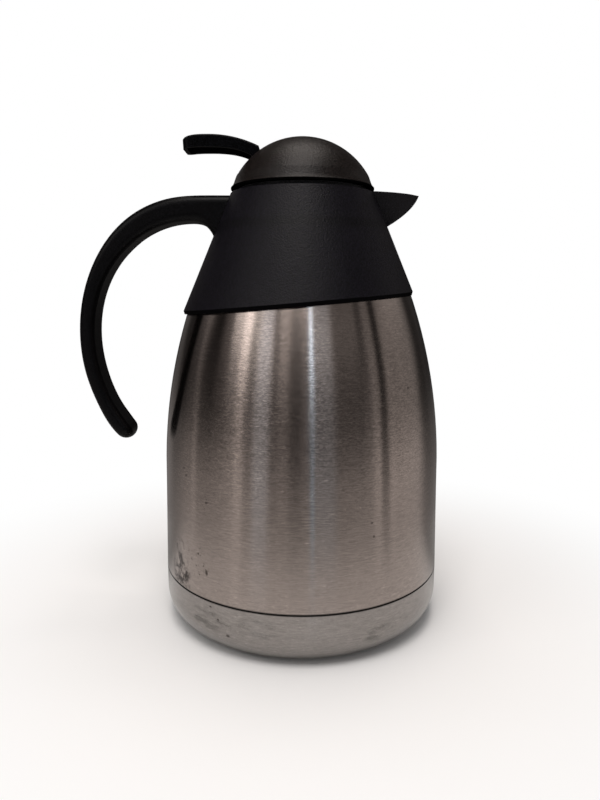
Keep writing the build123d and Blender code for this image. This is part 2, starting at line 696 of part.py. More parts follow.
def make_handle_form():
    """The handle's full outside: a loft along its two centre lines, with a rounded tip."""
    length = outer_line.length
    main = 1 - HANDLE_NOSE / length
    sections = []
    for i in range(HANDLE_SECTIONS):
        share = main * (i / (HANDLE_SECTIONS - 1)) ** HANDLE_SPREAD
        depth = handle_depth(share)
        width = HANDLE_WIDTH + (HANDLE_ROOT_WIDTH - HANDLE_WIDTH) * max(1 - 4 * share, 0)
        rounding = HANDLE_ROUND * min(depth, HANDLE_WIDTH / 2)
        sections.append(handle_section(share, width, 0, depth, rounding))
    for i in range(1, NOSE_SECTIONS + 1):
        turn = radians(84 * i / NOSE_SECTIONS)
        share = main + HANDLE_NOSE / length * sin(turn)
        shrink = HANDLE_NOSE * (1 - cos(turn))
        depth = handle_depth(share)
        low = min(shrink, 0.45 * depth)
        rounding = HANDLE_ROUND * (depth - 2 * low)
        sections.append(handle_section(share, HANDLE_WIDTH - 2 * shrink, low, depth - low, rounding))
    return loft(sections)


def handle_strip(width, low, wall, thickness, ends):
    """A strip let into the inner face; its depth is the thickness, or what a wall leaves."""
    sections = []
    for i in range(COVER_SECTIONS):
        share = COVER_START - ends + (COVER_END - COVER_START + 2 * ends) * i / (COVER_SECTIONS - 1)
        high = thickness if thickness else handle_depth(share) - wall
        sections.append(handle_section(share, width, low, high, COVER_ROUND))
    return loft(sections)


def make_handle_shell():
    cover = HANDLE_WIDTH - 2 * COVER_LIP
    seat = COVER_THICKNESS + WELD_FIT
    form = make_handle_form() - collar_cone(-HANDLE_FIT, collar_skirt, collar_top + HANDLE_WIDTH / 2)
    form -= handle_strip(cover + 2 * COVER_FIT, -1, 0, seat, COVER_END_FIT)
    form -= handle_strip(cover - 2 * COVER_SEAT, -1, HANDLE_WALL, 0, -COVER_END_SEAT)
    for side in (-1, 1):
        form -= screw_line(side) * rod(SCREW_RADIUS + SCREW_BITE, boss_face, boss_face + SCREW_LENGTH + 1)
    return form


def make_handle_inner_cover():
    return handle_strip(HANDLE_WIDTH - 2 * COVER_LIP, 0, 0, COVER_THICKNESS, 0)


def screw_line(side):
    """Turns a rod that stands on the axis into one that points at the handle."""
    return Pos(0, side * SCREW_SPACING / 2, screw_height) * Rot(0, -90, 0)


def make_handle_screws():
    screws = []
    for side in (-1, 1):
        screw = rod(SCREW_RADIUS, boss_face, boss_face + SCREW_LENGTH)
        screw += rod(SCREW_HEAD, boss_face - SCREW_HEAD_HEIGHT, boss_face)
        screws.append(screw_line(side) * screw)
    return Compound(screws)


PIECES = {
    "outer_shell": make_outer_shell,
    "inner_flask": make_inner_flask,
    "vacuum_base": make_vacuum_base,
    "vacuum_seal": make_vacuum_seal,
    "getter": make_getter,
    "base_cap": make_base_cap,
    "collar": make_collar,
    "neck_ring": make_neck_ring,
    "neck_gasket": make_neck_gasket,
    "stopper_body": make_stopper_body,
    "stopper_base": make_stopper_base,
    "stopper_gasket": make_stopper_gasket,
    "lever_pin": make_lever_pin,
    "valve_stem": make_valve_stem,
    "valve_button": make_valve_button,
    "valve_disc": make_valve_disc,
    "valve_gasket": make_valve_gasket,
    "disc_nut": make_disc_nut,
    "return_spring": make_return_spring,
    "thumb_lever": make_thumb_lever,
    "dome_cap": make_dome_cap,
    "handle_shell": make_handle_shell,
    "handle_inner_cover": make_handle_inner_cover,
    "handle_screws": make_handle_screws,
}

os.makedirs("parts", exist_ok=True)
for name, make in PIECES.items():
    solid = make()
    export_step(solid, f"parts/{name}.step")
    print(name, round(solid.volume))
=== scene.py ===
# %% [markdown]
# # A vacuum carafe: steel body, black collar, beak spout, domed stopper with a thumb lever
# The rigid model comes from CAD as separate parts, and they already have their true shapes and
# places. This lesson gives each part its finish, adds the small things that a CAD model leaves
# out, and lights the jug in a plain studio. Everything is in metres, with the jug standing on
# z = 0, its spout towards +X and its handle towards -X.

# %% Load the frame
import math

import bmesh
import bpy
from mathutils import Matrix, Vector


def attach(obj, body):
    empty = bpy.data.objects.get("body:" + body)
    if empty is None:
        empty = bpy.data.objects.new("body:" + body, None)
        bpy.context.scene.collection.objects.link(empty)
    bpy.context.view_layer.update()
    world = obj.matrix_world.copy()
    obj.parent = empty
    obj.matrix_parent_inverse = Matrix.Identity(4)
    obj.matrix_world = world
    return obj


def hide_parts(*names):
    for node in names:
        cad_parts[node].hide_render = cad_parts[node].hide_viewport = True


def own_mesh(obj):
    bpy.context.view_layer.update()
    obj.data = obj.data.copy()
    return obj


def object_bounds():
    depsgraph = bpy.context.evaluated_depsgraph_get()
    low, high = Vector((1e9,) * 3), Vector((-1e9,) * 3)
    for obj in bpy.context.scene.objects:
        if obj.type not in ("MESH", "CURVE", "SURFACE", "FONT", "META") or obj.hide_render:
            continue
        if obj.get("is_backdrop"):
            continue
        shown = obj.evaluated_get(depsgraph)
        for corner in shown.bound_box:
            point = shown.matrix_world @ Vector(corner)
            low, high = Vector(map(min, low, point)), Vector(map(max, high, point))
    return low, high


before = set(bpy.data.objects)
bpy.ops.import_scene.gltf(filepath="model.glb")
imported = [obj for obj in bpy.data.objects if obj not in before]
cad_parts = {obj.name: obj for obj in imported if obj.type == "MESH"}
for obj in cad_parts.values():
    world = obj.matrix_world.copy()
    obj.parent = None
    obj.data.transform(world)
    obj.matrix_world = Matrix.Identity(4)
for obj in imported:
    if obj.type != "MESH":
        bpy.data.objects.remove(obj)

cad_low, cad_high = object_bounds()
MM = 0.001

# %% [markdown]
# ## Camera
# The jug is seen from close by and from a little below the height of its lid, so the base curves
# strongly and the rim of the lid shows its underside. A phone's short lens does that: the camera
# stands about 31 cm from the axis, tilted down by nine and a half degrees. A lens this near gives
# the swelling foot and the small head; a longer lens from further off would flatten both.

# %% Camera
LENS = 29.25
CAMERA_PLACE = (-0.00086, -0.31468, 0.15651)
TILT_DOWN = math.radians(9.46)
ROLL = math.radians(0.18)

camera_data = bpy.data.cameras.new("camera")
camera_data.lens = LENS
camera_data.clip_start = 0.01
camera = bpy.data.objects.new("camera", camera_data)
bpy.context.collection.objects.link(camera)
camera.matrix_world = (
    Matrix.Translation(CAMERA_PLACE)
    @ Matrix.Rotation(math.pi / 2 - TILT_DOWN, 4, "X")
    @ Matrix.Rotation(ROLL, 4, "Z")
)
bpy.context.scene.camera = camera
bpy.context.scene.view_settings.view_transform = "Standard"
print("camera at", [round(v, 3) for v in camera.location], "lens", LENS, "mm")

# %% [markdown]
# ## Writing shader maths as Python
# A material is a graph, and most of it is arithmetic on masks. Placing Math nodes by hand hides
# what is meant, so one small class wraps a socket and lets Python's own operators add the nodes:
# 1 - mask, a * b and a ** 0.5 each make one Math node.

# %% Sockets as values
class Wire:
    """A node's output that takes part in Python expressions."""

    def __init__(self, finish, socket):
        self.finish = finish
        self.socket = socket

    def outputs(self, *keys):
        """The outputs of the same node that the keys name."""
        return [Wire(self.finish, self.socket.node.outputs[key]) for key in keys]

    def math(self, operation, *others):
        sockets = dict(enumerate((self, *others)))
        return self.finish.node("Math", {"operation": operation}, sockets)

    def reflected(self, operation, other):
        return self.finish.node("Math", {"operation": operation}, {0: other, 1: self})

    def __add__(self, other):
        return self.math("ADD", other)

    def __sub__(self, other):
        return self.math("SUBTRACT", other)

    def __mul__(self, other):
        return self.math("MULTIPLY", other)

    def __truediv__(self, other):
        return self.math("DIVIDE", other)

    def __pow__(self, other):
        return self.math("POWER", other)

    def __rsub__(self, other):
        return self.reflected("SUBTRACT", other)

    def __rtruediv__(self, other):
        return self.reflected("DIVIDE", other)

    def __rpow__(self, other):
        return self.reflected("POWER", other)

    def __neg__(self):
        return self.math("MULTIPLY", -1.0)

    def __abs__(self):
        return self.math("ABSOLUTE")

    __radd__ = __add__
    __rmul__ = __mul__


def between(share, first, second):
    """A value that runs from first to second as share runs from 0 to 1."""
    return first + (second - first) * share


print("sockets take + - * / ** and abs")

# %% [markdown]
# ## One method for every other node
# A finish is a material, or the world, while its graph is made. Its method `node` makes any node:
# it sets the node's options first and then fills or links its sockets. The short methods after
# it are the few combinations that this jug needs again and again: a noise, a soft step between
# two values, a mix of two colours, a colour made darker, a bump.

# %% Finishes
# A Mix node has one set of sockets for each kind of data; these are the colour ones
MIX_FIRST, MIX_SECOND, MIX_RESULT = 6, 7, 2


class Finish:
    """A material, or the world, being made from nodes."""

    def __init__(self, owner):
        self.owner = owner
        owner.use_nodes = True
        self.tree = owner.node_tree
        self.tree.nodes.clear()

    def node(self, kind, settings=None, sockets=None, out=0):
        made = self.tree.nodes.new("ShaderNode" + kind)
        for name, value in (settings or {}).items():
            setattr(made, name, value)
        for key, value in (sockets or {}).items():
            socket = made.inputs[key]
            if isinstance(value, Wire):
                self.tree.links.new(value.socket, socket)
            else:
                socket.default_value = (*value, 1.0) if socket.type == "RGBA" else value
        return Wire(self, made.outputs[out]) if made.outputs else None

    def place(self):
        return self.node("TexCoord", out="Object")

    def axes(self):
        return self.node("SeparateXYZ", sockets={0: self.place()}).outputs(0, 1, 2)

    def noise(self, scale, detail=2.0, rough=0.5, shift=(0, 0, 0)):
        """Noise on Object coordinates; the scale is in cycles per metre, one number or three."""
        if not isinstance(scale, tuple):
            scale = (scale,) * 3
        place = {"Vector": self.place(), "Location": shift, "Scale": scale}
        spread = self.node("Mapping", sockets=place)
        sockets = {"Vector": spread, "Scale": 1.0, "Detail": detail, "Roughness": rough}
        return self.node("TexNoise", sockets=sockets)

    def ramp(self, value, low, high):
        """0 at low, 1 at high, smooth between and level outside; low may be the greater."""
        settings = {"interpolation_type": "SMOOTHSTEP"}
        return self.node("MapRange", settings, {"Value": value, "From Min": low, "From Max": high})

    def blend(self, share, first, second):
        """Colour mix: first where share is 0, second where it is 1."""
        sockets = {0: share, MIX_FIRST: first, MIX_SECOND: second}
        return self.node("Mix", {"data_type": "RGBA"}, sockets, MIX_RESULT)

    def tint(self, colour, level):
        """A colour made lighter or darker by a value."""
        grey = self.node("CombineColor", sockets={0: level, 1: level, 2: level})
        settings = {"data_type": "RGBA", "blend_type": "MULTIPLY"}
        sockets = {0: 1.0, MIX_FIRST: colour, MIX_SECOND: grey}
        return self.node("Mix", settings, sockets, MIX_RESULT)

    def bump(self, height, depth, strength):
        sockets = {"Height": height, "Distance": depth, "Strength": strength}
        return self.node("Bump", sockets=sockets)

    def emission(self, colour):
        return self.node("Emission", sockets={"Color": colour, "Strength": 1.0})

    def principled(self, **sockets):
        """The Principled shader; a socket's name is written with _ for each space."""
        names = {name.replace("_", " "): value for name, value in sockets.items()}
        return self.node("BsdfPrincipled", sockets=names)

    def surface(self, shader, share=None, second=None):
        """Ends the graph; where share is 1 the second shader takes the first one's place."""
        if share is not None:
            shader = self.node("MixShader", sockets={0: share, 1: shader, 2: second})
        is_world = isinstance(self.owner, bpy.types.World)
        self.node("OutputWorld" if is_world else "OutputMaterial", sockets={"Surface": shader})


def new_finish(name):
    return Finish(bpy.data.materials.new(name))


print("finish methods", [name for name in vars(Finish) if not name.startswith("_")])

# %% [markdown]
# ## Soft light all round
# The world lights the jug evenly at a low level, which keeps its black parts readable without
# taking the shape out of them. The camera, mirrors and clear things see it as plain white, so
# the light on the jug and the white behind it are set apart from each other.

# %% World
SOFT_LEVEL = 0.33
WHITE = (1.0, 1.0, 1.0)
RAYS = ("Is Camera Ray", "Is Glossy Ray", "Is Transmission Ray")

world = bpy.data.worlds.new("studio")
bpy.context.scene.world = world
sky = Finish(world)
seen, mirrored, refracted = sky.node("LightPath").outputs(*RAYS)
shown = (seen + mirrored + refracted).math("MINIMUM", 1.0)
strength = between(shown, SOFT_LEVEL, 1.0)
sky.surface(sky.node("Background", sockets={"Color": WHITE, "Strength": strength}))
print("world light", SOFT_LEVEL, "on the jug and 1 where it is seen")

# %% [markdown]
# ## Studio paper
# The jug stands on a sheet of pale paper, which takes its shadow. Near the jug the paper is a
# matt sheet; further out the camera sees plain white, so no horizon shows from any side. In
# mirrors the half behind the jug is darker, as the far part of a real table is.

# %% Floor
PAPER_TONES = (0.93, 0.93, 0.93), (0.95, 0.95, 0.95)
PAPER_CLOUDS = 9.0              # cycles per metre
PAPER_ENDS = (0.08, 0.26)       # from the axis: where the matt sheet starts to fade and is gone
BEHIND_STARTS = (0.0, 0.05)     # in Y: where mirrors start to see the darker half
BEHIND_DARKER = 0.62
FLOOR_HALF_SIZE = 6.0


def add_object(name, shape, finish):
    """A bmesh made an object in the scene, with its finish; the bmesh is freed."""
    mesh = bpy.data.meshes.new(name)
    shape.to_mesh(mesh)
    shape.free()
    mesh.materials.append(finish)
    made = bpy.data.objects.new(name, mesh)
    bpy.context.collection.objects.link(made)
    return made


def from_axis(x, y):
    """Distance from the jug's upright axis."""
    return (x * x + y * y) ** 0.5


paper = new_finish("studio_paper")
paper_x, paper_y, _ = paper.axes()
seen, mirrored, _ = paper.node("LightPath").outputs(*RAYS)
dimmed = mirrored * paper.ramp(paper_y, *BEHIND_STARTS)
paper_tone = paper.blend(paper.noise(PAPER_CLOUDS), *PAPER_TONES)
sheet_tone = paper.tint(paper_tone, 1 - BEHIND_DARKER * dimmed)
sheet = paper.principled(Base_Color=sheet_tone, Roughness=0.9, Specular_IOR_Level=0.1)
far = paper.ramp(from_axis(paper_x, paper_y), *PAPER_ENDS) * seen
paper.surface(sheet, far, paper.emission(WHITE))

floor_shape = bmesh.new()
bmesh.ops.create_grid(floor_shape, x_segments=1, y_segments=1, size=FLOOR_HALF_SIZE)
floor = add_object("studio_floor", floor_shape, paper.owner)
floor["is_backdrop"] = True
print("floor", floor.dimensions[:])

# %% [markdown]
# ## A room that only mirrors see
# Brushed steel shows its surroundings as upright streaks, so what stands round the jug matters
# more than how bright the lamps are. Two ways: hang a picture as an environment, or build the
# room. Here the room is a round wall that only mirrors see, dim where a real room is dim, with
# upright strips for a window, a door frame and a lamp, and a sloping apron at its foot for the
# table. It is hidden from the camera and casts no shadow, so the ground stays plain all round.

# %% Room and strips
ROOM_RADIUS = 1.2
ROOM_TOP = 1.5
APRON_RADIUS = 0.18
APRON_TOP = 0.22
WARM = (1.0, 0.93, 0.90)
COOL = (0.64, 0.86, 1.08)
ROOM_HIGH = 0.36                # the wall between its strips, upper and lower part
ROOM_LOW = 0.08
# Upright strips: direction in degrees from the front towards the spout side, half width, the
# level in the upper and in the lower part of the wall, and how cool its light is. A strip
# covers those before it.
STRIPS = [
    (-150, 10, 0.50, 0.14, 0.0), (-126, 11, 0.02, 0.03, 0.0), (-99.5, 2.8, 0.46, 0.22, 0.0),
    (-87, 9, 0.02, 0.03, 0.0), (-56, 11, 1.2, 0.16, 0.0), (-53, 4, 3.7, 0.37, 0.0),
    (-44, 3, 0.12, 0.10, 0.0), (-33.5, 6.5, 2.7, 0.38, 0.3), (-16, 4.2, 0.88, 0.12, 0.0),
    (-5, 5, 0.02, 0.0, 0.0), (8.5, 1.6, 7.4, 0.40, 1.0), (19, 8, 1.25, 0.20, 0.3),
    (76, 15, 0.36, 0.38, 0.0), (57, 4, 0.12, 0.14, 0.0), (75, 4.2, 0.02, 0.01, 0.0),
    (106, 18, 0.60, 0.34, 0.0), (139, 8, 0.04, 0.05, 0.0), (172, 20, 0.10, 0.04, 0.0),
    (-178, 13, 0.10, 0.04, 0.0),
]
print("room", 2 * ROOM_RADIUS, "m wide and", ROOM_TOP, "m high, with", len(STRIPS), "strips")

# %% [markdown]
# ## Where a strip stands
# A strip is upright, but its image on a jug that swells and narrows would lean and bend. So the
# strips are bent instead: close to the jug they turn towards the front, and so does their foot,
# and on the spout's side their lower half leans the same way. The image then runs straight down.

# %% Bearing
NEAR_BEND = 0.033
FOOT_BEND, BEND_HEIGHTS = 0.05, (0.25, 0.10)
SIDE_LEAN, LEAN_BEARINGS, LEAN_HEIGHTS = 0.05, (40, 70), (1.0, 0.5)

room = new_finish("studio_room")
room_x, room_y, room_z = room.axes()
bearing = room_x.math("ARCTAN2", -room_y) * (180 / math.pi)
bearing = bearing * (1 - NEAR_BEND / ROOM_RADIUS + NEAR_BEND / from_axis(room_x, room_y))
bearing = bearing * (1.0 + FOOT_BEND * room.ramp(room_z, *BEND_HEIGHTS))
leaning = room.ramp(bearing, *LEAN_BEARINGS) * room.ramp(room_z, *LEAN_HEIGHTS)
bearing = bearing * (1.0 + SIDE_LEAN * leaning)
aside = abs(bearing)
print("bearing takes", len(room.tree.nodes), "nodes")

# %% [markdown]
# ## How bright the room is
# The strips are laid over the plain wall one by one. Then come the zones of height: the table at
# the foot, the lower and the upper part of the wall, and the ceiling. Each zone is darker or
# lighter towards the front, the sides or the back.

# %% Strips over the wall
STRIP_EDGE = 0.5                # share of its half width over which a strip fades, in and out

upper, lower, cool = ROOM_HIGH, ROOM_LOW, 0.0
for centre, half, high_level, low_level, coolness in STRIPS:
    outer, inner = half * (1 + STRIP_EDGE), half * (1 - STRIP_EDGE)
    inside = room.ramp(abs(bearing - centre), outer, inner)
    upper = between(inside, upper, high_level)
    lower = between(inside, lower, low_level)
    cool = between(inside, cool, coolness)
print("strips at", [row[0] for row in STRIPS], "degrees")

# %% Table, ceiling and back
# Levels, each with the bearings, in degrees, between which it comes in
TABLE_FRONT = 0.20
TABLE_SIDE, SIDE_COMES = 0.31, (15, 50)
TABLE_LEFT_MORE, LEFT_COMES = 0.06, (-25, -60)
TABLE_BEHIND, BEHIND_GOES = 0.15, (150, 95)
CEILING_SIDE = 0.02
CEILING_FRONT, FRONT_COMES = 0.09, (100, 35)
BACK_DARKER, BACK_COMES = 0.28, (118, 150)
# The strips show on the table too, and it glows at the very foot; with heights in metres
STRIPS_ON_TABLE, STRIPS_COME = 1.6, (-0.01, 0.03)
FOOT_GLOW, FOOT_COMES = 0.20, (0.03, 0.0)
# Heights between which one zone fades into the next
TABLE_SHARE, TABLE_COMES = 0.9, (0.095, 0.02)
UPPER_COMES = (0.35, 0.72)
CEILING_COMES = (0.85, 1.12)

table = between(room.ramp(aside, *SIDE_COMES), TABLE_FRONT, TABLE_SIDE)
table = table + TABLE_LEFT_MORE * room.ramp(bearing, *LEFT_COMES)
table = between(room.ramp(aside, *BEHIND_GOES), TABLE_BEHIND, table)
table = table + STRIPS_ON_TABLE * lower * room.ramp(room_z, *STRIPS_COME)
table = table + FOOT_GLOW * room.ramp(room_z, *FOOT_COMES)
ceiling = between(room.ramp(aside, *FRONT_COMES), CEILING_SIDE, CEILING_FRONT)

level = between(TABLE_SHARE * room.ramp(room_z, *TABLE_COMES), lower, table)
level = between(room.ramp(room_z, *UPPER_COMES), level, upper)
level = between(room.ramp(room_z, *CEILING_COMES), level, ceiling)
level = level * (1 - BACK_DARKER * room.ramp(aside, *BACK_COMES))
room.surface(room.emission(room.tint(room.blend(cool, WARM, COOL), level)))
print("room light uses", len(room.tree.nodes), "nodes")

# %% [markdown]
# ## The wall itself
# One line, up the apron, up the wall and in along the ceiling, is spun once round the axis. The
# spin leaves its first and last line and all the points on the axis in the same places, so both
# are merged. The same helper makes the seam bead later.

# %% Wall
SAME_PLACE = 1e-7


def spin_once(shape, steps):
    """Spins a profile once round Z and closes the seam and any pole."""
    bmesh.ops.spin(
        shape, geom=[*shape.verts, *shape.edges], axis=(0, 0, 1), cent=(0, 0, 0), steps=steps,
        angle=2 * math.pi, use_merge=True,
    )
    bmesh.ops.remove_doubles(shape, verts=shape.verts, dist=SAME_PLACE)


wall_shape = bmesh.new()
profile = [(APRON_RADIUS, 0.0), (ROOM_RADIUS, APRON_TOP), (ROOM_RADIUS, ROOM_TOP), (0, ROOM_TOP)]
points = [wall_shape.verts.new((r, 0, z)) for r, z in profile]
for pair in zip(points, points[1:]):
    wall_shape.edges.new(pair)
spin_once(wall_shape, steps=72)
wall = add_object("studio_wall", wall_shape, room.owner)
wall.visible_camera = False
wall.visible_diffuse = False
wall.visible_shadow = False
wall.visible_transmission = False
wall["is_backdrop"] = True
print("room wall", [round(v, 2) for v in wall.dimensions])

# %% [markdown]
# ## Lamps
# Three square soft boxes: one over the head for the top of the dome and the ground, one high in
# front that gives the black parts their broad sheen, and a weak one at the front left for the
# edge of the handle. All are a little warm. They face a point about halfway up the jug.

# %% Lamps
LAMP_SIDE = 0.5
LAMP_AIM = Vector((0, 0, 0.12))
# Bearing in degrees from the front towards the spout, lift in degrees, distance, watts, colour
LAMPS = {
    "lamp_overhead": (178, 82, 1.0, 3.3, (1.0, 0.92, 0.86)),
    "lamp_front": (-8, 64, 1.1, 6.4, (1.0, 0.95, 0.92)),
    "lamp_front_left": (-55, 38, 1.1, 1.2, (1.0, 0.97, 0.94)),
}

for name, (turn_deg, lift_deg, distance, watts, colour) in LAMPS.items():
    data = bpy.data.lights.new(name, "AREA")
    data.shape = "SQUARE"
    data.size = LAMP_SIDE
    data.energy = watts
    data.color = colour
    turn, lift = math.radians(turn_deg), math.radians(lift_deg)
    level_part = math.cos(lift)
    way = Vector((math.sin(turn) * level_part, -math.cos(turn) * level_part, math.sin(lift)))
    lamp = bpy.data.objects.new(name, data)
    lamp.location = LAMP_AIM + way * distance
    lamp.rotation_mode = "QUATERNION"
    lamp.rotation_quaternion = way.to_track_quat("Z", "Y")
    lamp.visible_camera = False
    bpy.context.collection.objects.link(lamp)
    print(name, "at", [round(v, 2) for v in lamp.location])

# %% [markdown]
# ## Brushed steel
# The body was turned against a belt, which leaves thousands of fine level grooves. Light that
# meets them spreads upright and stays narrow sideways. Painting the streaks would stick them to
# the jug, so the shader is anisotropic instead, turned a quarter so that its broad axis stands
# upright, and noises stretched round the body vary its tone, roughness and height by a hair.
# Years of use add grey smears low down, small dark spots and a few fine scratches. Each of these
# is a noise or a plain tone kept inside an egg-shaped patch of the surface.

# %% Steel finish
STEEL = (0.29, 0.250, 0.228)
BROWN = (0.035, 0.026, 0.022)
# SHADOW is the near black of the painted shade at the seam
SHADOW = (0.006, 0.005, 0.005)
STEEL_ROUGH = 0.205
# Cycles per metre round the body, twice, and up it
GRAIN = (200.0, 200.0, 1800.0)
FINE_GRAIN = (750.0, 750.0, 2000.0)
GLINTS, GLINTS_SHOWN = (420.0, 420.0, 1500.0), (0.60, 0.80)
CLOUDS = 16.0
GROOVE_DEPTH, GROOVE_STRENGTH = 0.025 * MM, 0.5
# How far each pattern moves the tone; the fine grain shows most in a belt about 100 mm up
GRAIN_TONE, CLOUD_TONE, GLINT_TONE, SCRATCH_TONE = 0.7, 0.12, 0.3, 0.45
FINE_TONE, FINE_BELT_TONE = 0.35, 0.85
FINE_BELOW, FINE_ABOVE = (0.055, 0.10), (0.165, 0.10)
GRAIN_ROUGH, CLOUD_ROUGH, SMUDGE_ROUGH = 0.05, 0.03, 0.12
SCRATCH_DEEP, SCRATCH_WIDE, SCRATCH_SOFT = 1.5, 0.3, 0.6    # the first two are half sizes in mm
SPOT_STRENGTH, SPOT_SOFT = 0.85, 0.7
# Painted shade at the seam, 25.5 mm up: the steel turns towards near black within 0.8 mm of it
SEAM, SEAM_SHADE = 25.5 * MM, 0.9
SEAM_EDGES = (0.8 * MM, 0.25 * MM)


def patch(finish, centre, size, soft=0.5, lean=0.0):
    """1 inside an egg-shaped patch of the surface, fading to 0 outside; sizes in millimetres."""
    place = {
        "Vector": finish.place(), "Location": tuple(MM * c for c in centre),
        "Rotation": (0, math.radians(lean), 0), "Scale": tuple(MM * s for s in size),
    }
    local = finish.node("Mapping", {"vector_type": "TEXTURE"}, place)
    length = finish.node("VectorMath", {"operation": "LENGTH"}, {0: local}, out="Value")
    return finish.ramp(length, 1.0, 1.0 - soft)


def brushed(name, smudges=(), spots=(), scratches=(), base=STEEL):
    steel = new_finish(name)
    z = steel.axes()[2]
    grain = steel.noise(GRAIN, detail=3.0, rough=0.6)
    fine = steel.noise(FINE_GRAIN, detail=1.0, shift=(3, 1, 7))
    belt = FINE_BELT_TONE * steel.ramp(z, *FINE_BELOW) * steel.ramp(z, *FINE_ABOVE)
    cloud = steel.noise(CLOUDS, detail=3.0, shift=(5, 2, 1))
    glints = steel.ramp(steel.noise(GLINTS, detail=1.0, shift=(9, 4, 2)), *GLINTS_SHOWN)
    tone = 1.0 + GRAIN_TONE * (grain - 0.5) + (FINE_TONE + belt) * (fine - 0.5)
    tone = tone + CLOUD_TONE * (cloud - 0.5) + GLINT_TONE * glints
    rough = STEEL_ROUGH + GRAIN_ROUGH * (grain - 0.5) + CLOUD_ROUGH * (cloud - 0.5)
    for centre, length, lean in scratches:
        size = (length, SCRATCH_DEEP, SCRATCH_WIDE)
        tone = tone + SCRATCH_TONE * patch(steel, centre, size, SCRATCH_SOFT, lean)
    colour = steel.tint(base, tone)
    for centre, size, pattern, low, high, depth, shade in smudges:
        stain = steel.ramp(steel.noise(pattern, detail=5.0, rough=0.62, shift=centre), low, high)
        mask = patch(steel, centre, size) * stain
        colour = steel.blend(mask * depth, colour, shade)
        rough = rough + SMUDGE_ROUGH * mask
    for centre, size in spots:
        spot = patch(steel, centre, size, SPOT_SOFT) * SPOT_STRENGTH
        colour = steel.blend(spot, colour, BROWN)
    # Painted shade: the steel's colour darkens to SHADOW along the seam between body and base cap
    seam = steel.ramp(abs(z - SEAM), *SEAM_EDGES) * SEAM_SHADE
    steel.surface(steel.principled(
        Base_Color=steel.blend(seam, colour, SHADOW), Metallic=1.0, Roughness=rough,
        Anisotropic=0.97, Anisotropic_Rotation=0.25,
        Normal=steel.bump(grain, GROOVE_DEPTH, GROOVE_STRENGTH),
    ))
    return steel.owner


inner_steel = brushed("brushed_steel_inside")
print("clean steel", inner_steel.name, "uses", len(inner_steel.node_tree.nodes), "nodes")

# %% Marks of use on the steel
GREY = (0.10, 0.10, 0.088)
CAP_STEEL = (0.268, 0.248, 0.234)
# Each smudge: centre and half size in mm, cycles per metre of its pattern, the value where it
# starts and is full, strength, and colour
BODY_SMUDGES = [
    ((-54, -38.5, 31), (10, 11, 14), 260.0, 0.40, 0.62, 0.95, BROWN),
    ((-54.5, -38, 44), (5, 6, 5), 300.0, 0.50, 0.66, 0.55, BROWN),
    ((-45, -48, 40), (9, 9, 11), 520.0, 0.57, 0.66, 0.6, BROWN),
    ((0, 0, 60), (90, 90, 60), 300.0, 0.72, 0.78, 0.5, BROWN),
]
CAP_SMUDGES = [
    ((-40, -53, 16.6), (17, 13, 6), (90.0, 90.0, 330.0), 0.42, 0.66, 0.5, GREY),
    ((-18, -64, 18), (15, 8, 6), (90.0, 90.0, 330.0), 0.46, 0.70, 0.4, GREY),
    ((34, -57, 13), (11, 9, 5), (120.0, 120.0, 330.0), 0.42, 0.66, 0.45, GREY),
    ((0, 0, 12), (90, 90, 20), (60.0, 60.0, 240.0), 0.56, 0.76, 0.35, GREY),
]
# Each spot: centre and half size in mm
BODY_SPOTS = [
    ((-40.6, -52.6, 37.7), (1.0, 1.4, 1.8)), ((28.9, -59.4, 62.8), (0.7, 1.4, 0.6)),
    ((29.9, -59.0, 56.8), (0.5, 1.4, 0.9)), ((-40.2, -52.3, 68.8), (0.9, 1.4, 0.6)),
    ((-44.5, -49.2, 45), (0.7, 1.4, 0.8)), ((-51.1, -41.3, 81), (0.5, 1.4, 0.7)),
    ((-50, -42.6, 78), (0.5, 1.4, 0.9)), ((48.6, -40.5, 98), (0.5, 1.4, 0.8)),
    ((44.8, -42.6, 116.5), (0.6, 1.4, 0.7)),
]
CAP_SPOTS = [
    ((-39, -54.1, 23.1), (0.9, 1.4, 0.6)), ((-35.6, -56.4, 18.3), (0.8, 1.4, 0.6)),
    ((-31.2, -58.6, 12), (1.3, 1.6, 1.0)),
]
# Each scratch: centre and half length in mm, and how far it leans from level in degrees
BODY_SCRATCHES = [
    ((-34, -55.4, 92.4), 2.4, 32), ((-26.6, -59.4, 91.4), 2.8, 22),
    ((-34.5, -55.5, 88.2), 2.2, 36), ((-17.2, -63.3, 82.9), 2.2, -14),
    ((4.4, -65.6, 76.7), 2.0, -48), ((-37.1, -52.6, 99.3), 1.6, 30),
    ((-28.3, -57.3, 103.3), 1.8, 18), ((-22.5, -58, 113.7), 2.6, 12),
    ((-30.1, -58.2, 84.8), 2.4, 20), ((2.1, -66.1, 56.7), 1.5, 0), ((9.6, -64.9, 82.3), 1.7, 0),
    ((-7.8, -65.2, 78.0), 0.9, 0), ((23.8, -61.5, 70.0), 0.7, 70),
]

body_steel = brushed("brushed_steel_body", BODY_SMUDGES, BODY_SPOTS, BODY_SCRATCHES)
cap_steel = brushed("brushed_steel_cap", CAP_SMUDGES, CAP_SPOTS, base=CAP_STEEL)
print("worn steel", body_steel.name, cap_steel.name)
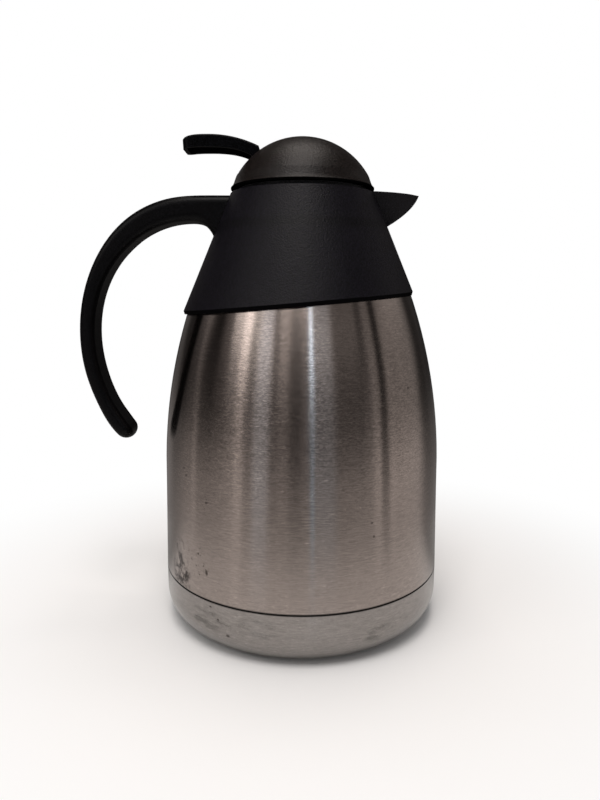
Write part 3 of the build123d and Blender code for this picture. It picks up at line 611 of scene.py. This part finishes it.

# %% [markdown]
# ## Black mouldings
# Collar, dome, lever and handle are black polypropylene. The tool's spark-eroded face leaves a
# fine pebble on collar and dome, which scatters the highlight into a soft brownish sheen, while
# handle and lever are smoother. The pebble is far finer than any mesh could hold, so it is bump.
# Three places are painted darker than their surroundings, as painted shade: the bevel under the
# collar's slanted edge, the edge of the dome's brim, and a faint level ring round the cone, where
# its shape has a shallow band. The first two are in shade from every side, so there a dead black
# takes the plastic's place: a painted shadow.

# %% Painted shade on the mouldings
COLLAR_EDGE = 152.5 * MM        # height of the slanted edge on the axis
COLLAR_TILT = math.radians(4.88)
EDGE_FADE, EDGE_SHARE = 0.4 * MM, 0.85
BRIM_FOOT = 203.6 * MM
BRIM_FADE = 0.5 * MM
# Painted shade of a shallow band round the cone, 185.5 mm up
RING_HEIGHT, RING_SHADE = 185.5 * MM, 0.4
RING_EDGES = (3.0 * MM, 0.8 * MM)


# Painted shade: a dead black on the bevel where the collar turns under towards the steel
def painted_shade_under_collar(plastic):
    x, _, z = plastic.axes()
    edge = COLLAR_EDGE + math.tan(COLLAR_TILT) * x
    return EDGE_SHARE * plastic.ramp(edge - z, 0.0, EDGE_FADE)


# Painted shade: a dead black on the edge of the dome's brim
def painted_shade_under_brim(plastic):
    return plastic.ramp(plastic.axes()[2], BRIM_FOOT + BRIM_FADE, BRIM_FOOT)


# Painted shade: a faint dark ring where the cone has a shallow band
def painted_ring_shade(plastic):
    return RING_SHADE * plastic.ramp(abs(plastic.axes()[2] - RING_HEIGHT), *RING_EDGES)


print("collar edge at", round(COLLAR_EDGE / MM, 1), "mm, brim at", round(BRIM_FOOT / MM, 1), "mm")

# %% Moulded plastic
# The black with no sheen that takes the plastic's place as painted shade
PAINTED_SHADE_BLACK = {"Base_Color": (0.001, 0.001, 0.001), "Roughness": 1.0, "Specular_IOR_Level": 0.0}
# The specks make the tone run from the lowest up, and the clouds move it both ways
LOWEST_TONE, SPECK_TONE, CLOUDED_TONE = 0.4, 1.2, 0.3
SPECK_ROUGH, CLOUDED_ROUGH = 0.22, 0.08
SPECK_RATIO = 1.25              # specks to one pebble
SPECKS_SHOWN = (0.33, 0.67)
HAZE = 60.0                     # clouds in cycles per metre
PEBBLE_STRENGTH = 0.6


def moulded(name, colour, rough, pebble, depth, sheen=0.16, dead=None, darker=None):
    """Black plastic, so many pebbles per metre; dead and darker make masks of painted shade."""
    plastic = new_finish(name)
    fine = plastic.noise(pebble, detail=2.0, rough=0.6)
    speck = plastic.noise(SPECK_RATIO * pebble, detail=1.0, shift=(6, 1, 3))
    broad = plastic.noise(HAZE, detail=3.0, shift=(2, 4, 8))
    tone = LOWEST_TONE + SPECK_TONE * plastic.ramp(speck, *SPECKS_SHOWN)
    colour = plastic.tint(colour, tone + CLOUDED_TONE * (broad - 0.5))
    # The painted shade of the ring darkens the colour
    if darker:
        colour = plastic.tint(colour, 1 - darker(plastic))
    rough = rough + CLOUDED_ROUGH * (broad - 0.5) + SPECK_ROUGH * (speck - 0.5)
    skin = plastic.principled(
        Base_Color=colour, Roughness=rough, Specular_IOR_Level=sheen,
        Normal=plastic.bump(fine, depth, PEBBLE_STRENGTH),
    )
    # Where the mask is 1, the painted shade black takes the plastic's place
    if dead:
        plastic.surface(skin, dead(plastic), plastic.principled(**PAINTED_SHADE_BLACK))
    else:
        plastic.surface(skin)
    return plastic.owner


collar_black = moulded(
    "black_collar", (0.0032, 0.0026, 0.0048), 0.45, 1400.0, 0.36 * MM, 0.14,
    dead=painted_shade_under_collar, darker=painted_ring_shade,
)
dome_black = moulded(
    "black_dome", (0.0062, 0.0042, 0.0036), 0.40, 1300.0, 0.30 * MM, 0.19, dead=painted_shade_under_brim,
)
handle_black = moulded("black_handle", (0.0014, 0.0012, 0.0016), 0.38, 1600.0, 0.04 * MM, 0.10)
cover_black = moulded("black_handle_cover", (0.0030, 0.0028, 0.0032), 0.5, 1600.0, 0.04 * MM)
lever_black = moulded("black_lever", (0.0010, 0.0010, 0.0014), 0.32, 1600.0, 0.04 * MM, 0.06)
inner_black = moulded("black_inside", (0.02, 0.02, 0.021), 0.38, 1500.0, 0.02 * MM)
print("plastic", [m.name for m in bpy.data.materials if m.name.startswith("black_")])

# %% [markdown]
# ## Seals, pins and welded parts
# Small metal parts are bright drawn wire or turned bar, with rings left by the tool; the seals
# are milky silicone, slightly cloudy; the vacuum seal and the getter are dull grey metal.

# %% Small finishes
RING_TONE, RING_ROUGH, RING_DEPTH = 0.16, 0.12, 0.01 * MM
MILK_TONE, DUST_TONE, DUST_ROUGH, DUST_DEPTH = 0.10, 0.06, 0.15, 0.02 * MM
SMALL_STRENGTH = 0.4            # of both bumps


def turned(name, colour, rough, lines):
    """Metal with level tool marks, so many lines per metre."""
    metal = new_finish(name)
    rings = metal.noise((200.0, 200.0, lines), detail=2.0)
    metal.surface(metal.principled(
        Base_Color=metal.tint(colour, 1.0 + RING_TONE * (rings - 0.5)), Metallic=1.0,
        Roughness=rough + RING_ROUGH * (rings - 0.5),
        Normal=metal.bump(rings, RING_DEPTH, SMALL_STRENGTH),
    ))
    return metal.owner


def silicone(name, colour):
    rubber = new_finish(name)
    cloud = rubber.noise(240.0, detail=3.0)
    dust = rubber.noise(1800.0, detail=2.0, shift=(1, 1, 1))
    tone = 1.0 + MILK_TONE * (cloud - 0.5) + DUST_TONE * (dust - 0.5)
    rubber.surface(rubber.principled(
        Base_Color=rubber.tint(colour, tone), Roughness=0.5 + DUST_ROUGH * (dust - 0.5),
        Subsurface_Weight=0.1, Subsurface_Scale=2 * MM,
        Normal=rubber.bump(dust, DUST_DEPTH, SMALL_STRENGTH),
    ))
    return rubber.owner


pin_steel = turned("drawn_steel", (0.60, 0.59, 0.58), 0.24, 3000.0)
spring_steel = turned("spring_wire", (0.55, 0.54, 0.53), 0.28, 2400.0)
dull_metal = turned("dull_seal_metal", (0.33, 0.33, 0.32), 0.6, 900.0)
seal_milky = silicone("milky_silicone", (0.52, 0.51, 0.47))
# Painted shade: the black of the ring in the seam gap
seam_shade_black = silicone("black_seam_shade", (0.012, 0.012, 0.012))
print("finishes in all", len(bpy.data.materials))

# %% [markdown]
# ## Each part gets its finish
# The CAD parts keep their meshes, and only their materials change. Parts that share a stock
# share a finish: the liner and its base are one steel, and all that is moulded and doesn't show
# is one plastic.

# %% Finishes onto the parts
FINISHES = {
    "outer_shell": body_steel, "base_cap": cap_steel,
    "inner_flask": inner_steel, "vacuum_base": inner_steel,
    "vacuum_seal": dull_metal, "getter": dull_metal,
    "collar": collar_black, "dome_cap": dome_black, "thumb_lever": lever_black,
    "handle_shell": handle_black, "handle_inner_cover": cover_black,
    "neck_ring": inner_black, "stopper_body": inner_black, "stopper_base": inner_black,
    "valve_button": inner_black, "valve_disc": inner_black,
    "neck_gasket": seal_milky, "stopper_gasket": seal_milky, "valve_gasket": seal_milky,
    "lever_pin": pin_steel, "valve_stem": pin_steel, "disc_nut": pin_steel,
    "handle_screws": pin_steel, "return_spring": spring_steel,
}
for node, finish in FINISHES.items():
    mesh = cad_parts[node].data
    mesh.materials.clear()
    mesh.materials.append(finish)
print(len(FINISHES), "parts finished of", len(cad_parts))

# %% [markdown]
# ## Seam bead
# Base cap and body meet in a half-millimetre gap. A black ring in it is painted shade: it makes
# the seam show as a thin dark line. A short upright section, spun once round the axis, makes the
# bead; it lies back from the steel by 0.4 mm, so the two steel edges keep their shadow.

# %% Seam bead
SHARP_ANGLE = math.radians(30.0)
# Section of the bead, in mm
BEAD_INNER, BEAD_OUTER = 65.78, 66.3
BEAD_FOOT, BEAD_TOP = 25.28, 25.72
BEAD_ROUND = 0.12


def to_piece(name, shape, finish):
    """A new piece of the jug, smooth but for its sharp edges."""
    piece = add_object(name, shape, finish)
    piece.data.shade_smooth()
    piece.data.set_sharp_from_angle(angle=SHARP_ANGLE)
    return piece


bead = bmesh.new()
corners = [
    (BEAD_INNER, BEAD_FOOT), (BEAD_OUTER, BEAD_FOOT), (BEAD_OUTER, BEAD_TOP),
    (BEAD_INNER, BEAD_TOP),
]
bead_verts = [bead.verts.new((r * MM, 0, z * MM)) for r, z in corners]
bead.faces.new(bead_verts)
bmesh.ops.bevel(
    bead, geom=bead_verts[1:3], offset=BEAD_ROUND * MM, offset_type="OFFSET", affect="VERTICES",
    segments=3, profile=0.5, material=-1,
)
bmesh.ops.delete(bead, geom=bead.faces[:], context="FACES_ONLY")
spin_once(bead, steps=160)
bmesh.ops.recalc_face_normals(bead, faces=bead.faces)
seam_shade_ring = to_piece("seam_shade_ring", bead, seam_shade_black)
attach(seam_shade_ring, "carafe")
print("seam bead", len(seam_shade_ring.data.polygons), "faces")

# %% [markdown]
# ## Stopper lugs
# The stopper locks with a quarter turn: two sloping lugs on its plug run under the ring that
# closes the neck. They are moulded with the plug. Each is a small section swept through
# fifty-eight degrees with a slight rise, which the spin operator does in one step. It starts
# from a face and leaves one at the far end, so both ends are closed.

# %% Stopper lugs
# Sizes in mm; each corner of the section is a radius and a height
PLUG_RADIUS = 25.5
LUG_SECTION = [
    (PLUG_RADIUS - 0.4, 193.6), (PLUG_RADIUS + 1.0, 194.2), (PLUG_RADIUS + 1.0, 195.6),
    (PLUG_RADIUS - 0.4, 196.2),
]
LUG_RISE = 0.9
LUG_SPAN = math.radians(58)
LUG_STEPS = 24


def lug(name, bearing_deg):
    shape = bmesh.new()
    verts = [shape.verts.new((r * MM, 0, z * MM)) for r, z in LUG_SECTION]
    face = shape.faces.new(verts)
    turn = Matrix.Rotation(math.radians(bearing_deg) - LUG_SPAN / 2, 4, "Z")
    bmesh.ops.transform(shape, matrix=turn, verts=shape.verts)
    bmesh.ops.spin(
        shape, geom=[*verts, *face.edges, face], axis=(0, 0, 1), cent=(0, 0, 0), steps=LUG_STEPS,
        angle=LUG_SPAN, dvec=(0, 0, LUG_RISE * MM / LUG_STEPS), use_duplicate=False,
    )
    bmesh.ops.recalc_face_normals(shape, faces=shape.faces)
    made = to_piece(name, shape, inner_black)
    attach(made, "lid")
    return made


lugs = [lug("stopper_lug_left", 90), lug("stopper_lug_right", -90)]
print("lugs", [len(made.data.polygons) for made in lugs], "faces")

# %% [markdown]
# ## Rounded handle tip
# CAD ends the handle in a plain blunt face. The moulded one runs out in a full round nose, which
# is easier on the fingers. A copy of the handle is merged and cut across 5.2 mm before its end,
# and the cut's outline is extruded in rings that shrink like the slices of a ball. The nose keeps
# the same end point, so the handle is neither longer nor shorter than in CAD.

# %% Cut the handle's end off
TIP_END = Vector((-83.3, 0.0, 86.1)) * MM
TIP_WAY = Vector((0.60, 0.0, -0.80))
TIP_LENGTH = 5.2 * MM
TIP_REACH = 16 * MM
MERGE = 0.002 * MM


def merged_copy(node):
    """A bmesh of a CAD part, with its loose triangles joined."""
    shape = bmesh.new()
    shape.from_mesh(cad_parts[node].data)
    bmesh.ops.remove_doubles(shape, verts=shape.verts, dist=MERGE)
    return shape


def each_once(items):
    """The items without repeats, in a fixed order."""
    return list(dict.fromkeys(items))


handle = merged_copy("handle_shell")
# The plane also meets the rest of the handle and its root, which must stay: only the faces
# below it near the tip are cut
near = [f for f in handle.faces if (f.calc_center_median() - TIP_END).length < TIP_REACH]
near_verts = each_once(v for f in near for v in f.verts)
near_edges = each_once(e for f in near for e in f.edges)
bmesh.ops.bisect_plane(
    handle, geom=[*near_verts, *near_edges, *near], dist=SAME_PLACE,
    plane_co=TIP_END - TIP_WAY * TIP_LENGTH, plane_no=TIP_WAY, clear_outer=True,
)
rim = [e for e in handle.edges if e.is_boundary]
rim_verts = each_once(v for e in rim for v in e.verts)
centre = sum((v.co for v in rim_verts), Vector()) / len(rim_verts)
centre.y = 0.0
print("cut outline", len(rim), "edges, centre", [round(c / MM, 2) for c in centre])

# %% Grow the round nose
NOSE_RINGS = 12

for ring in range(NOSE_RINGS):
    before, after = (math.pi / 2 * k / NOSE_RINGS for k in (ring, ring + 1))
    grown = bmesh.ops.extrude_edge_only(handle, edges=rim)["geom"]
    rim = [g for g in grown if isinstance(g, bmesh.types.BMEdge) and g.is_boundary]
    old_place = centre + (TIP_END - centre) * math.sin(before)
    new_place = centre + (TIP_END - centre) * math.sin(after)
    for vert in (g for g in grown if isinstance(g, bmesh.types.BMVert)):
        vert.co = new_place + (vert.co - old_place) * (math.cos(after) / math.cos(before))
bmesh.ops.remove_doubles(handle, verts=handle.verts, dist=MERGE)
bmesh.ops.recalc_face_normals(handle, faces=handle.faces)
print("open edges", sum(1 for e in handle.edges if not e.is_manifold))
handle_round = to_piece("handle_with_round_tip", handle, handle_black)
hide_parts("handle_shell")
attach(handle_round, "carafe")

# %% [markdown]
# ## Return spring
# Pressing the lever pushes the valve down 2.4 mm, and the coil spring under its button shortens
# by as much. A rigid coil would poke through the button. Here a copy of the coil, with a mesh of
# its own, takes the CAD spring's place.

coil = merged_copy("return_spring")
spring = to_piece("return_spring_coil", coil, spring_steel)
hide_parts("return_spring")
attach(spring, "lid")
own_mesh(spring)

# %% [markdown]
# ## Sizes
# The dressed jug must stay the size that CAD gave it, so both boxes are taken: that of the bare
# CAD parts, taken at the start, and that of everything that stands here now. How far the second
# passes the first is printed.

# %% Sizes
low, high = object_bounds()
beyond = max(*(cad_low - low), *(high - cad_high))
print("the dressed jug passes the CAD box by", round(max(beyond, 0.0) / MM, 2), "mm")
